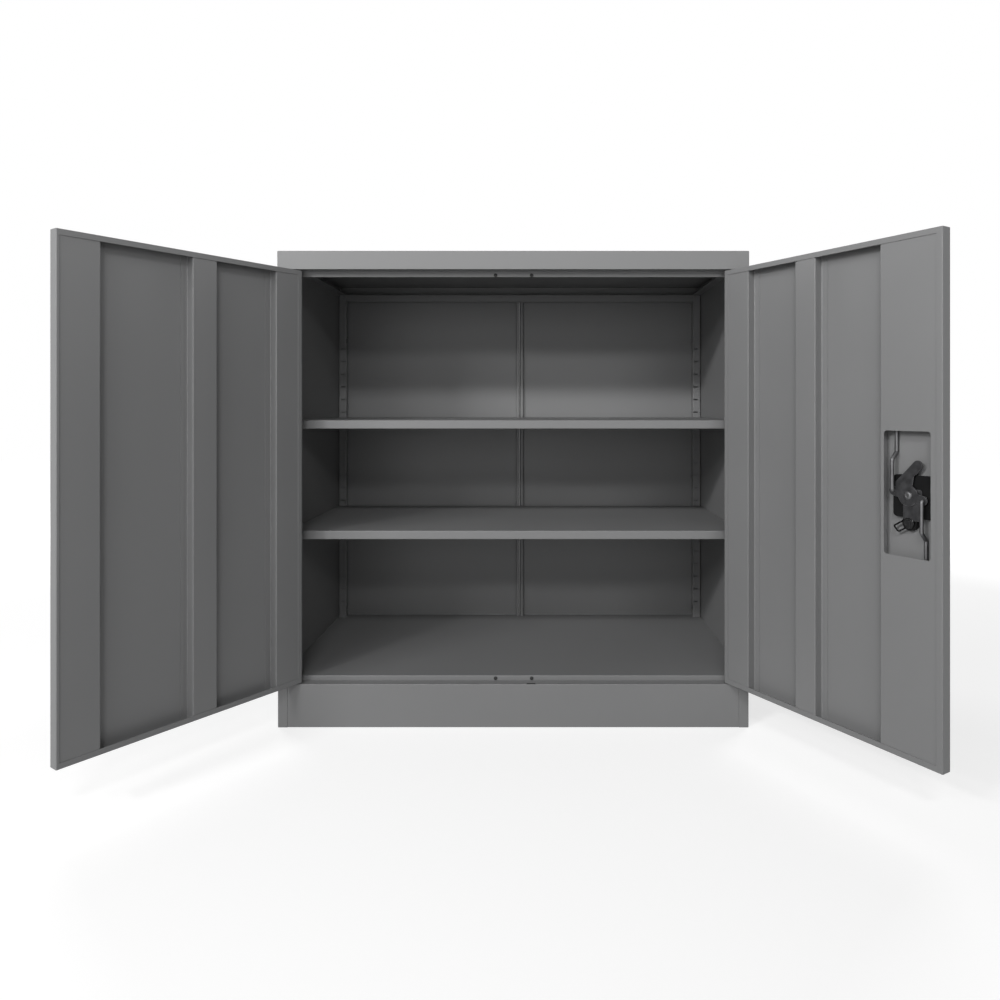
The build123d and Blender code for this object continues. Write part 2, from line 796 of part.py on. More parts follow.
# Cam: a hub with two arms for the rods and, over them, a tongue that turns up to the free edge.
with BuildPart() as lock_cam:
    with BuildSketch(across_plane(lock_frame, spindle_end)):
        with Locations(lock_point):
            Circle(hub_radius)
        with Locations(Location((*lock_point, 0), (0, 0, -lock_side * (lock_turn - 90)))):
            SlotCenterToCenter(2 * arm_reach, arm_width)
        with BuildLine():
            Polyline(*[(lock_point[0] - lock_side * along, lock_height + up) for along, up in heel], close=True)
        make_face()
        with Locations(Location((*lock_point, 0), (0, 0, -lock_side * tongue_lean))):
            with Locations((-lock_side * (tongue_reach - tongue_length / 2), tongue_aside)):
                SlotCenterToCenter(tongue_length, tongue_width)
        with Locations(Location((*lock_point, 0), (0, 0, -lock_side * lock_turn))):
            Rectangle(square_size + 2 * running_fit, square_size + 2 * running_fit, mode=Mode.SUBTRACT)
        with Locations(turned(lock_turn - 90, arm_reach), turned(lock_turn + 90, arm_reach)):
            Circle(rod_radius + running_fit, mode=Mode.SUBTRACT)
    extrude(amount=cam_thickness)
save(lock_cam, "lock_cam")

# Screw that holds the cam on the spindle.
with BuildPart() as cam_screw:
    head_radius, head_height = screw_head
    with BuildSketch(across_plane(lock_frame, spindle_end)):
        with Locations(lock_point):
            Circle(head_radius)
    extrude(amount=-head_height)
    inner_faces = cam_screw.faces().sort_by(Axis(lock_frame.origin, lock_frame.y_dir))
    chamfer(inner_faces[-1].edges(), length=head_height / 2)
    with BuildSketch(across_plane(lock_frame, spindle_end)):
        with Locations(lock_point):
            Circle(screw_radius)
    extrude(amount=screw_length)
    with BuildSketch(across_plane(lock_frame, spindle_end + head_height)):
        with Locations(lock_point):
            RegularPolygon(head_radius / 2, 6)
    extrude(amount=head_height / 2, mode=Mode.SUBTRACT)
save(cam_screw, "cam_screw")

# Barrel, and the plug that the key turns.
with BuildPart() as lock_barrel:
    with BuildSketch(across_plane(lock_frame, barrel_rear)):
        with Locations(barrel_point):
            Circle(barrel_radius)
            Circle(plug_radius + running_fit, mode=Mode.SUBTRACT)
    extrude(amount=barrel_rear + plate_thickness + barrel_front)
save(lock_barrel, "lock_barrel")

with BuildPart() as key_plug:
    slot_length, slot_gap = key_slot
    plug_front = plate_thickness + barrel_front
    with BuildSketch(across_plane(lock_frame, barrel_rear + running_fit)):
        with Locations(barrel_point):
            Circle(plug_radius)
    extrude(amount=barrel_rear + plug_front)
    with BuildSketch(across_plane(lock_frame, -plug_front / 2)):
        with Locations(barrel_point):
            Rectangle(slot_gap, slot_length)
    extrude(amount=plug_front, mode=Mode.SUBTRACT)
    with BuildSketch(across_plane(lock_frame, barrel_rear + sheet)):
        with Locations((barrel_point[0], barrel_point[1] - plug_radius / 2)):
            Rectangle(plug_radius, 2 * plug_radius)
    extrude(amount=sheet - running_fit)
save(key_plug, "key_plug")

# Wire clip beside the barrel.
with BuildPart() as barrel_clip:
    wire_depth = housing_depth + wire_radius + running_fit
    wire_points = [
        (barrel_point[0] - lock_side * along, barrel_point[1] + up) for along, up in wire_loop
    ]
    with BuildLine(across_plane(lock_frame, wire_depth)) as loop:
        FilletPolyline(*wire_points, radius=wire_bend)
    with BuildSketch(Plane(origin=loop.line @ 0, z_dir=loop.line % 0)):
        RegularPolygon(wire_radius, 8)
    sweep()
save(barrel_clip, "barrel_clip")


# Rods: a hook through the cam's arm, a short run in view, a joggle towards the skin, and the
# long run to the end of the door.
def lock_rod(rod, way, end):
    hook_up = rod_hook_up[rod]
    near_depth = spindle_end + rod_gap + rod_radius
    joggle = hook_up - way * joggle_start
    route = [
        (meeting_depth, hook_up),
        (near_depth, hook_up),
        (near_depth, joggle),
        (rod_depth, joggle - way * joggle_length),
        (rod_depth, end),
    ]
    with BuildPart() as shaft:
        with BuildLine(depth_plane(lock_frame, lock_side, rod_across[rod])) as path:
            FilletPolyline(*route, radius=rod_bend)
        with BuildSketch(Plane(origin=path.line @ 0, z_dir=path.line % 0)):
            Circle(rod_radius)
        sweep()
    return shaft


save(lock_rod("upper", rods_across["upper"], door_top - sheet / 2), "upper_lock_rod")
save(lock_rod("lower", rods_across["lower"], door_bottom + sheet / 2), "lower_lock_rod")
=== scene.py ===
from math import cos, pi, radians, sin

import bpy
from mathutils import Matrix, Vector


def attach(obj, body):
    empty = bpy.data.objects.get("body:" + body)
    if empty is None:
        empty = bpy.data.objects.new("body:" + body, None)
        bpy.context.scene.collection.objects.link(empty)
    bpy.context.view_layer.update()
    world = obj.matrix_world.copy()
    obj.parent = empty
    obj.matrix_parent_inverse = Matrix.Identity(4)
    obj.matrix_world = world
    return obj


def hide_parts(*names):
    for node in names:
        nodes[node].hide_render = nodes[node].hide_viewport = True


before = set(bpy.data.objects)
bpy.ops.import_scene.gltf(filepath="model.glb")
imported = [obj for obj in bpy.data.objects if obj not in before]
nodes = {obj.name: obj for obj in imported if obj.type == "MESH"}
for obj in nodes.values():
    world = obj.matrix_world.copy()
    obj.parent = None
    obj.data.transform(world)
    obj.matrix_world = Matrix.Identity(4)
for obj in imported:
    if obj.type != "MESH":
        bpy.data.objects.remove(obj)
bpy.context.view_layer.update()
scene = bpy.context.scene
scene.view_settings.view_transform = "Standard"
mm = 0.001
sharpAngle = radians(35)  # small fittings are shaded smooth below this

# Camera, floor and lamps, in metres and watts.
view = {
    "place": (0.0543, -1.4673, 0.624),
    "lens": 27.22,
    "sensor": 36,
    "shift": (-0.0412, -0.0941),
}
setting = {
    "floorSize": 14.0,
    "floorColour": (0.45, 0.45, 0.45),
    "floorRoughness": 0.9,
    "floorGlow": 0.65,  # with the lamps' light this makes white, and the object's shadow stays darker
    "floorFade": (1.9, 3.1),  # the glow rises to 1 between these distances, where the lamps don't reach
    "ambient": 0.01,
}
lamps = {
    "highMiddle": {"place": (-0.05, -2.6, 2.21), "aim": (0.05, 0.2, 0.6), "size": (0.7, 0.2), "power": 22},
    "highLeft": {"place": (-1.3, -2.6, 2.21), "aim": (0.05, 0.2, 0.6), "size": (0.9, 0.2), "power": 13},
    "highFarLeft": {"place": (-2.3, -2.6, 2.21), "aim": (0.05, 0.2, 0.6), "size": (0.9, 0.2), "power": 50},
    "lowLeft": {"place": (-2.3, -2.6, 1.62), "aim": (0.05, 0.2, 0.6), "size": (0.9, 0.16), "power": 18},
    "lowRight": {"place": (0.95, -2.6, 1.62), "aim": (0.05, 0.2, 0.6), "size": (0.9, 0.16), "power": 8.5},
    "fill": {"place": (-0.5, -2.98, 0.9), "aim": (0.05, 0.2, 0.6), "size": (2.0, 0.8), "power": 9},
    "rearLeft": {"place": (-2.6, 2.8, 2.3), "aim": (0.0, 0.4, 0.5), "size": (1.6, 1.6), "power": 60},
    "rearRight": {"place": (2.6, 2.8, 2.3), "aim": (0.0, 0.4, 0.5), "size": (1.6, 1.6), "power": 60},
}


def makeCamera():
    data = bpy.data.cameras.new("camera")
    data.sensor_width = view["sensor"]
    data.sensor_fit = "HORIZONTAL"
    data.lens = view["lens"]
    data.shift_x, data.shift_y = view["shift"]
    data.clip_start = 0.01
    camera = bpy.data.objects.new("camera", data)
    camera.location = view["place"]
    camera.rotation_euler = (radians(90), 0, 0)
    scene.collection.objects.link(camera)
    scene.camera = camera


def makeLamp(name, spec):
    data = bpy.data.lights.new(name, "AREA")
    data.shape = "RECTANGLE"
    data.size, data.size_y = spec["size"]
    data.energy = spec["power"]
    lamp = bpy.data.objects.new(name, data)
    lamp.location = spec["place"]
    away = Vector(spec["place"]) - Vector(spec["aim"])
    lamp.rotation_euler = away.to_track_quat("Z", "Y").to_euler()
    scene.collection.objects.link(lamp)


def addNode(tree, kind, values=None, **settings):
    # Adds a node. A value that is a socket is linked, any other is written in.
    node = tree.nodes.new(kind)
    for key, value in settings.items():
        setattr(node, key, value)
    for key, value in (values or {}).items():
        if isinstance(value, bpy.types.NodeSocket):
            tree.links.new(value, node.inputs[key])
        else:
            node.inputs[key].default_value = value
    return node


def shaderGroup(name, inputs, outputs):
    # An empty group with its named sockets, and its two end nodes.
    group = bpy.data.node_groups.new(name, "ShaderNodeTree")
    for label, kind, value in inputs:
        socket = group.interface.new_socket(label, in_out="INPUT", socket_type=kind)
        socket.default_value = value
    for label, kind in outputs:
        group.interface.new_socket(label, in_out="OUTPUT", socket_type=kind)
    return group, group.nodes.new("NodeGroupInput"), group.nodes.new("NodeGroupOutput")


def calc(tree, operation, first, second=0.0, clamp=False):
    node = addNode(tree, "ShaderNodeMath", {0: first, 1: second}, operation=operation, use_clamp=clamp)
    return node.outputs[0]


def spread(tree, value, low, high, toLow=0.0, toHigh=1.0):
    found = addNode(
        tree,
        "ShaderNodeMapRange",
        {"Value": value, "From Min": low, "From Max": high, "To Min": toLow, "To Max": toHigh},
    )
    return found.outputs["Result"]


def blendColour(tree, factor, first, second):
    mixed = addNode(tree, "ShaderNodeMix", data_type="RGBA")
    for index, value in ((0, factor), (6, first), (7, second)):
        if isinstance(value, bpy.types.NodeSocket):
            tree.links.new(value, mixed.inputs[index])
        else:
            mixed.inputs[index].default_value = value if index == 0 else (*value, 1)
    return mixed.outputs[2]


# Effects that several finishes share.
def makeGrain():
    # Fine surface texture: ripples and pits in the height, and a slow cloud for colour and gloss.
    group, ends, out = shaderGroup(
        "surfaceGrain",
        [
            ("Size", "NodeSocketFloat", 0.002),
            ("Depth", "NodeSocketFloat", 0.00001),
            ("Cloud Size", "NodeSocketFloat", 0.2),
            ("Edge Radius", "NodeSocketFloat", 0.0006),
        ],
        [("Normal", "NodeSocketVector"), ("Cloud", "NodeSocketFloat"), ("Speck", "NodeSocketFloat")],
    )
    place = addNode(group, "ShaderNodeTexCoord").outputs["Object"]
    fineScale = calc(group, "DIVIDE", 1.0, ends.outputs["Size"])
    ripples = {"Vector": place, "Scale": fineScale, "Detail": 3.0, "Roughness": 0.55}
    fine = addNode(group, "ShaderNodeTexNoise", ripples)
    cloudScale = calc(group, "DIVIDE", 1.0, ends.outputs["Cloud Size"])
    cloud = addNode(group, "ShaderNodeTexNoise", {"Vector": place, "Scale": cloudScale, "Detail": 4.0})
    rounded = addNode(group, "ShaderNodeBevel", {"Radius": ends.outputs["Edge Radius"]}, samples=4)
    bump = addNode(
        group,
        "ShaderNodeBump",
        {"Height": fine.outputs["Fac"], "Distance": ends.outputs["Depth"], "Normal": rounded.outputs["Normal"]},
    )
    group.links.new(bump.outputs["Normal"], out.inputs["Normal"])
    group.links.new(spread(group, cloud.outputs["Fac"], 0.3, 0.7), out.inputs["Cloud"])
    group.links.new(spread(group, fine.outputs["Fac"], 0.35, 0.65), out.inputs["Speck"])
    return group


def makeEdgeHighlightMask():
    # White where the surface turns within the radius, broken up by a noise. The finishes lay a lighter edge
    # colour there, as a painted highlight on the edges.
    group, ends, out = shaderGroup(
        "edgeHighlightMask",
        [("Radius", "NodeSocketFloat", 0.001), ("Breakup", "NodeSocketFloat", 0.5)],
        [("Mask", "NodeSocketFloat")],
    )
    rounded = addNode(group, "ShaderNodeBevel", {"Radius": ends.outputs["Radius"]}, samples=4)
    flat = addNode(group, "ShaderNodeNewGeometry").outputs["Normal"]
    facing = addNode(
        group, "ShaderNodeVectorMath", {0: rounded.outputs["Normal"], 1: flat}, operation="DOT_PRODUCT"
    ).outputs["Value"]
    turned = spread(group, facing, 0.995, 0.8)
    place = addNode(group, "ShaderNodeTexCoord").outputs["Object"]
    noise = addNode(group, "ShaderNodeTexNoise", {"Vector": place, "Scale": 90.0, "Detail": 3.0}).outputs["Fac"]
    kept = spread(group, noise, 0.4, 0.62)
    broken = calc(group, "MULTIPLY", kept, ends.outputs["Breakup"])
    whole = calc(group, "SUBTRACT", 1.0, ends.outputs["Breakup"])
    mask = calc(group, "MULTIPLY", turned, calc(group, "ADD", whole, broken), True)
    group.links.new(mask, out.inputs["Mask"])
    return group


grainGroup = makeGrain()
edgeHighlightGroup = makeEdgeHighlightMask()


# Finishes. A slow cloud mixes each pair of colours and of roughnesses. A lighter colour on the turned edges is a
# painted highlight; on the powder coat it also stands for the thinner paint there. Lengths are in metres.
finishes = {
    "powderCoat": {
        "colours": ((0.198, 0.199, 0.201), (0.214, 0.215, 0.217)),
        # painted highlight on the turned edges, partly also the thinner paint there
        "edgeHighlightColour": (0.25, 0.25, 0.252),
        "edgeHighlightAmount": 0.25,
        "roughness": (0.46, 0.54),
        "metallic": 0.0,
        "grain": 0.0022,
        "depth": 0.00003,
        "cloud": 0.35,
        "radius": 0.0005,
    },
    "zincPlate": {
        "colours": ((0.115, 0.115, 0.118), (0.16, 0.16, 0.164)),
        # painted glint on the turned edges
        "edgeHighlightColour": (0.42, 0.42, 0.43),
        "edgeHighlightAmount": 0.6,
        "roughness": (0.44, 0.58),
        "metallic": 1.0,
        "grain": 0.0012,
        "depth": 0.00002,
        "cloud": 0.01,
        "radius": 0.0003,
    },
    "darkSteel": {
        # painted glint on the turned edges
        "colours": ((0.04, 0.04, 0.042), (0.07, 0.07, 0.073)),
        "edgeHighlightColour": (0.42, 0.42, 0.43),
        "edgeHighlightAmount": 0.6,
        "roughness": (0.34, 0.55),
        "metallic": 0.85,
        "grain": 0.0015,
        "depth": 0.00004,
        "cloud": 0.012,
        "radius": 0.0004,
    },
    "blackPlastic": {
        "colours": ((0.006, 0.006, 0.0062), (0.01, 0.01, 0.0104)),
        "edgeHighlightColour": (0.03, 0.03, 0.031),
        "edgeHighlightAmount": 0.5,
        "roughness": (0.42, 0.55),
        "metallic": 0.0,
        "specular": 0.1,
        "grain": 0.0007,
        "depth": 0.00004,
        "cloud": 0.03,
        "radius": 0.0005,
    },
    "bushNylon": {
        "colours": ((0.045, 0.045, 0.047), (0.06, 0.06, 0.062)),
        "edgeHighlightColour": (0.09, 0.09, 0.092),
        "edgeHighlightAmount": 0.5,
        "roughness": (0.4, 0.5),
        "metallic": 0.0,
        "grain": 0.0006,
        "depth": 0.00002,
        "cloud": 0.01,
        "radius": 0.0003,
    },
    "bufferRubber": {
        "colours": ((0.016, 0.016, 0.016), (0.026, 0.026, 0.026)),
        "edgeHighlightColour": (0.04, 0.04, 0.04),
        "edgeHighlightAmount": 0.4,
        "roughness": (0.65, 0.8),
        "metallic": 0.0,
        "grain": 0.0005,
        "depth": 0.00003,
        "cloud": 0.004,
        "radius": 0.0003,
    },
    "lockChrome": {
        "colours": ((0.045, 0.045, 0.046), (0.06, 0.06, 0.061)),
        # painted glint on the turned edges
        "edgeHighlightColour": (0.3, 0.3, 0.31),
        "edgeHighlightAmount": 0.5,
        "roughness": (0.16, 0.28),
        "metallic": 1.0,
        "grain": 0.0008,
        "depth": 0.00001,
        "cloud": 0.01,
        "radius": 0.0003,
    },
    "springWire": {
        "colours": ((0.004, 0.004, 0.0042), (0.007, 0.007, 0.0074)),
        "edgeHighlightColour": (0.05, 0.05, 0.052),
        "edgeHighlightAmount": 0.1,
        "roughness": (0.5, 0.6),
        "metallic": 0.0,
        "specular": 0.1,
        "grain": 0.0006,
        "depth": 0.00001,
        "cloud": 0.006,
        "radius": 0.0002,
    },
}


def makeFinish(name, spec):
    material = bpy.data.materials.new(name)
    material.use_nodes = True
    tree = material.node_tree
    shader = tree.nodes["Principled BSDF"]
    grain = addNode(tree, "ShaderNodeGroup", node_tree=grainGroup)
    edge = addNode(tree, "ShaderNodeGroup", node_tree=edgeHighlightGroup)
    for key, value in (
        ("Size", spec["grain"]),
        ("Depth", spec["depth"]),
        ("Cloud Size", spec["cloud"]),
        ("Edge Radius", spec["radius"]),
    ):
        grain.inputs[key].default_value = value
    edge.inputs["Radius"].default_value = 2 * spec["radius"]
    first, second = spec["colours"]
    body = blendColour(tree, grain.outputs["Cloud"], first, second)
    # The edge colour is a painted highlight, laid over the body colour where the surface turns.
    amount = calc(tree, "MULTIPLY", edge.outputs["Mask"], spec["edgeHighlightAmount"])
    tree.links.new(blendColour(tree, amount, body, spec["edgeHighlightColour"]), shader.inputs["Base Color"])
    smooth, dull = spec["roughness"]
    tree.links.new(spread(tree, grain.outputs["Cloud"], 0, 1, smooth, dull), shader.inputs["Roughness"])
    tree.links.new(grain.outputs["Normal"], shader.inputs["Normal"])
    shader.inputs["Metallic"].default_value = spec["metallic"]
    shader.inputs["Specular IOR Level"].default_value = spec.get("specular", 0.5)
    return material


materials = {name: makeFinish(name, spec) for name, spec in finishes.items()}
slotFinish = {
    "powder_coat": "powderCoat",
    "zinc_steel": "zincPlate",
    "dark_steel": "darkSteel",
    "black_plastic": "blackPlastic",
    "nylon": "bushNylon",
    "rubber": "bufferRubber",
    "lock_chrome": "lockChrome",
    "spring_wire": "springWire",
}


def dressFrame():
    # Each CAD node takes the finish of its own slot.
    for node in nodes.values():
        for slot in node.material_slots:
            slot.material = materials[slotFinish[slot.material.name]]


# Small fittings. Their lengths are in millimetres, and are turned to metres where they are used.
shelfClip = {
    "levels": {"lower": 354.25, "upper": 576.5},  # middles of the slots that they hang in
    "frontPlace": (433.0, 43.5),
    "rearPlace": (443.0, 436.0),
    "width": 10.0,
    "thickness": 1.8,
    "reach": 18.0,
    "hook": 7.0,
    "leg": 9.0,
    "rise": 1.45,  # top of the seat above the slot's middle
    "bend": 1.4,
    "legStart": 0.62,  # where the leg leaves the seat, as a share of the reach
}
doorBuffer = {
    "column": 35.5,
    "heights": (87.8, 881.0),
    "lip": 22.0,
    "radius": 3.6,
    "head": 1.8,
    "stem": 1.9,
    "stemLength": 3.0,
    "dimple": 0.35,
    "steps": 40,
}
rightDoor = {
    "pivot": (428.0, 4.5),
    "corner": (8.5, -4.5),
    "opening": 121.7,
    "spindle": (376.5, 487.0),  # across, up
    "barrelDrop": 42.0,
}
camScrew = {"seat": 13.3, "radius": 6.5, "height": 2.4, "socket": 3.4, "socketDepth": 1.5, "steps": 48}
barrelWire = {
    "depth": 10.45,
    "radius": 1.3,
    "bend": 3.0,
    "points": ((-9.9, 2.2), (-25.0, -7.0), (-17.5, -15.5), (-6.0, -8.6)),  # across and up from the barrel
}


def doorPoint(across, depth, up):
    # Place in the frame of a point of the right door: from its hinge edge, its outer face, and up.
    turn = radians(rightDoor["opening"])
    x, y = rightDoor["corner"]
    cornerX = rightDoor["pivot"][0] + x * cos(turn) - y * sin(turn)
    cornerY = rightDoor["pivot"][1] + x * sin(turn) + y * cos(turn)
    placeX = cornerX - cos(turn) * across - sin(turn) * depth
    placeY = cornerY - sin(turn) * across + cos(turn) * depth
    return Vector((placeX, placeY, up)) * mm


def geometryGroup(name, inputs):
    # An empty geometry tree with its named inputs, and its two end nodes.
    group = bpy.data.node_groups.new(name, "GeometryNodeTree")
    for label, kind, value in inputs:
        socket = group.interface.new_socket(label, in_out="INPUT", socket_type=kind)
        socket.default_value = value
    group.interface.new_socket("Geometry", in_out="OUTPUT", socket_type="NodeSocketGeometry")
    return group, group.nodes.new("NodeGroupInput"), group.nodes.new("NodeGroupOutput")


def addPiece(name, mesh, body, replaced):
    piece = bpy.data.objects.new(name, mesh)
    scene.collection.objects.link(piece)
    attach(piece, body)
    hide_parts(replaced)


def shadeMesh(mesh, material):
    mesh.materials.clear()
    mesh.materials.append(material)
    mesh.shade_smooth()
    mesh.set_sharp_from_angle(angle=sharpAngle)


def meshFromTree(name, group, values):
    # Runs a tree on an empty object and keeps what it makes as a plain mesh.
    holder = bpy.data.objects.new(name + "Tree", bpy.data.meshes.new(name + "Tree"))
    scene.collection.objects.link(holder)
    modifier = holder.modifiers.new("tree", "NODES")
    modifier.node_group = group
    for item in group.interface.items_tree:
        if item.in_out == "INPUT" and item.name in values:
            modifier[item.identifier] = values[item.name]
    bpy.context.view_layer.update()
    evaluated = holder.evaluated_get(bpy.context.evaluated_depsgraph_get())
    mesh = bpy.data.meshes.new_from_object(evaluated)
    mesh.name = name
    bpy.data.objects.remove(holder)
    shadeMesh(mesh, values["Material"])
    mesh.polygons.foreach_set("material_index", [0] * len(mesh.polygons))
    return mesh


def choose(tree, index, values):
    # One of several values by its number. A value is a socket or a plain number.
    node = addNode(tree, "GeometryNodeIndexSwitch", data_type="FLOAT")
    node.index_switch_items.clear()
    for _ in values:
        node.index_switch_items.new()
    tree.links.new(index, node.inputs[0])
    for number, value in enumerate(values):
        if isinstance(value, bpy.types.NodeSocket):
            tree.links.new(value, node.inputs[number + 1])
        else:
            node.inputs[number + 1].default_value = value
    return node.outputs[0]


def combine(tree, x, y, z=0.0):
    return addNode(tree, "ShaderNodeCombineXYZ", {0: x, 1: y, 2: z}).outputs[0]


def leftOrRight(tree, index):
    # Minus one and one in turn.
    return calc(tree, "SUBTRACT", calc(tree, "MULTIPLY", calc(tree, "MODULO", index, 2.0), 2.0), 1.0)


def placeCopies(tree, points, shape, material, out, rotation=(0, 0, 0)):
    # A real copy of the shape on each point, in the given material, as the tree's output.
    placed = addNode(
        tree, "GeometryNodeInstanceOnPoints", {"Points": points, "Instance": shape, "Rotation": rotation}
    )
    plain = addNode(tree, "GeometryNodeRealizeInstances", {"Geometry": placed.outputs[0]})
    dressed = addNode(tree, "GeometryNodeSetMaterial", {"Geometry": plain.outputs[0], "Material": material})
    tree.links.new(dressed.outputs[0], out.inputs[0])


def bentStrip(tree, points, width, thickness, bend):
    # A flat strip swept along a run of points in its own XY plane, with rounded bends.
    index = addNode(tree, "GeometryNodeInputIndex").outputs[0]
    line = addNode(tree, "GeometryNodeMeshLine", {"Count": len(points)})
    placed = addNode(
        tree,
        "GeometryNodeSetPosition",
        {
            "Geometry": line.outputs[0],
            "Position": combine(
                tree,
                choose(tree, index, [x for x, _ in points]),
                choose(tree, index, [y for _, y in points]),
            ),
        },
    )
    curve = addNode(tree, "GeometryNodeMeshToCurve", {"Mesh": placed.outputs[0]})
    rounded = addNode(
        tree,
        "GeometryNodeFilletCurve",
        {"Curve": curve.outputs[0], "Radius": bend, "Limit Radius": True, "Count": 5},
        mode="POLY",
    )
    upright = addNode(tree, "GeometryNodeSetCurveNormal", {"Curve": rounded.outputs[0]}, mode="Z_UP")
    section = addNode(tree, "GeometryNodeCurvePrimitiveQuadrilateral", {"Width": thickness, "Height": width})
    eased = addNode(
        tree,
        "GeometryNodeFilletCurve",
        {"Curve": section.outputs[0], "Radius": calc(tree, "MULTIPLY", thickness, 0.22), "Count": 2},
        mode="POLY",
    )
    return addNode(
        tree,
        "GeometryNodeCurveToMesh",
        {"Curve": upright.outputs[0], "Profile Curve": eased.outputs[0], "Fill Caps": True},
    ).outputs[0]


def makeClipTree():
    # Four clips: each a hooked strip that the shelf rests on, and a leg bent down in front.
    lengths = ("Level", "Front X", "Front Y", "Rear X", "Rear Y", "Width", "Thickness")
    lengths += ("Reach", "Hook", "Leg", "Rise", "Bend")
    group, ends, out = geometryGroup(
        "shelfClips",
        [(label, "NodeSocketFloat", 0.01) for label in lengths]
        + [("Leg Start", "NodeSocketFloat", 0.62), ("Material", "NodeSocketMaterial", None)],
    )
    given = {label: ends.outputs[label] for label in lengths}
    half = calc(group, "MULTIPLY", given["Thickness"], 0.5)
    top = calc(group, "SUBTRACT", given["Rise"], half)
    behind = calc(group, "SUBTRACT", -0.001, half)
    seat = [
        (behind, calc(group, "MULTIPLY", given["Hook"], -1.0)),
        (behind, top),
        (given["Reach"], top),
    ]
    under = calc(group, "SUBTRACT", top, given["Thickness"])
    leg = [
        (half, calc(group, "MULTIPLY", given["Leg"], -1.0)),
        (half, under),
        (calc(group, "MULTIPLY", given["Reach"], ends.outputs["Leg Start"]), under),
    ]
    joined = addNode(group, "GeometryNodeJoinGeometry")
    for run in (leg, seat):
        strip = bentStrip(group, run, given["Width"], given["Thickness"], given["Bend"])
        group.links.new(strip, joined.inputs[0])
    index = addNode(group, "GeometryNodeInputIndex").outputs[0]
    rear = calc(group, "GREATER_THAN", index, 1.5)
    across = choose(group, rear, [given["Front X"], given["Rear X"]])
    sideways = calc(group, "MULTIPLY", across, leftOrRight(group, index))
    deep = choose(group, rear, [given["Front Y"], given["Rear Y"]])
    points = addNode(
        group,
        "GeometryNodePoints",
        {"Count": 4, "Position": combine(group, sideways, deep, given["Level"])},
    )
    turn = combine(group, radians(90), 0.0, choose(group, rear, [radians(90), radians(-90)]))
    placeCopies(group, points.outputs[0], joined.outputs[0], ends.outputs["Material"], out, turn)
    return group


def makeBufferTree():
    # Four domed buffers, two low and two high, each a profile turned round its stem.
    group, ends, out = geometryGroup(
        "doorBuffers",
        [
            ("Column", "NodeSocketFloat", 0.03),
            ("Low", "NodeSocketFloat", 0.1),
            ("High", "NodeSocketFloat", 0.9),
            ("Lip", "NodeSocketFloat", 0.02),
            ("Radius", "NodeSocketFloat", 0.004),
            ("Head", "NodeSocketFloat", 0.002),
            ("Stem", "NodeSocketFloat", 0.002),
            ("Stem Length", "NodeSocketFloat", 0.003),
            ("Dimple", "NodeSocketFloat", 0.0004),
            ("Steps", "NodeSocketInt", 40),
            ("Material", "NodeSocketMaterial", None),
        ],
    )
    radius, head, stem = (ends.outputs[label] for label in ("Radius", "Head", "Stem"))
    length = ends.outputs["Stem Length"]
    hollow = calc(group, "SUBTRACT", head, ends.outputs["Dimple"])

    def part(value, share):
        return calc(group, "MULTIPLY", value, share)

    dome = ((0.4, 1.0), (0.62, 0.97), (0.82, 0.84), (0.95, 0.58), (1.0, 0.3), (0.97, 0.0))
    rows = [(0.0, hollow), (part(radius, 0.24), hollow)]
    rows += [(part(radius, wide), part(head, up)) for wide, up in dome]
    rows += [(stem, 0.0), (stem, part(length, -0.6)), (part(stem, 1.25), part(length, -0.7))]
    rows += [(part(stem, 0.7), part(length, -1.0)), (0.0, part(length, -1.0))]
    around = calc(group, "ADD", ends.outputs["Steps"], 1.0)
    grid = addNode(group, "GeometryNodeMeshGrid", {"Vertices X": around, "Vertices Y": len(rows)})
    index = addNode(group, "GeometryNodeInputIndex").outputs[0]
    row = calc(group, "MODULO", index, float(len(rows)))
    step = calc(group, "FLOOR", calc(group, "DIVIDE", index, float(len(rows))))
    angle = calc(group, "DIVIDE", calc(group, "MULTIPLY", step, 2 * pi), ends.outputs["Steps"])
    wide = choose(group, row, [reach for reach, _ in rows])
    deep = choose(group, row, [up for _, up in rows])
    ring = combine(
        group,
        part(wide, calc(group, "COSINE", angle)),
        part(deep, -1.0),
        part(wide, calc(group, "SINE", angle)),
    )
    shaped = addNode(group, "GeometryNodeSetPosition", {"Geometry": grid.outputs[0], "Position": ring})
    closed = addNode(group, "GeometryNodeMergeByDistance", {"Geometry": shaped.outputs[0], "Distance": 0.000002})
    column = part(leftOrRight(group, index), ends.outputs["Column"])
    upper = calc(group, "GREATER_THAN", index, 1.5)
    height = choose(group, upper, [ends.outputs["Low"], ends.outputs["High"]])
    place = combine(group, column, ends.outputs["Lip"], height)
    points = addNode(group, "GeometryNodePoints", {"Count": 4, "Position": place})
    placeCopies(group, points.outputs[0], closed.outputs[0], ends.outputs["Material"], out)
    return group


def addShelfClips():
    tree = makeClipTree()
    values = {
        "Front X": shelfClip["frontPlace"][0] * mm,
        "Front Y": shelfClip["frontPlace"][1] * mm,
        "Rear X": shelfClip["rearPlace"][0] * mm,
        "Rear Y": shelfClip["rearPlace"][1] * mm,
        "Leg Start": shelfClip["legStart"],
        "Material": materials["zincPlate"],
    }
    for label in ("Width", "Thickness", "Reach", "Hook", "Leg", "Rise", "Bend"):
        values[label] = shelfClip[label.lower()] * mm
    for name, level in shelfClip["levels"].items():
        mesh = meshFromTree(name + "ShelfClips", tree, {**values, "Level": level * mm})
        addPiece(name + "ShelfClips", mesh, "carcass", name + "_shelf_clips")


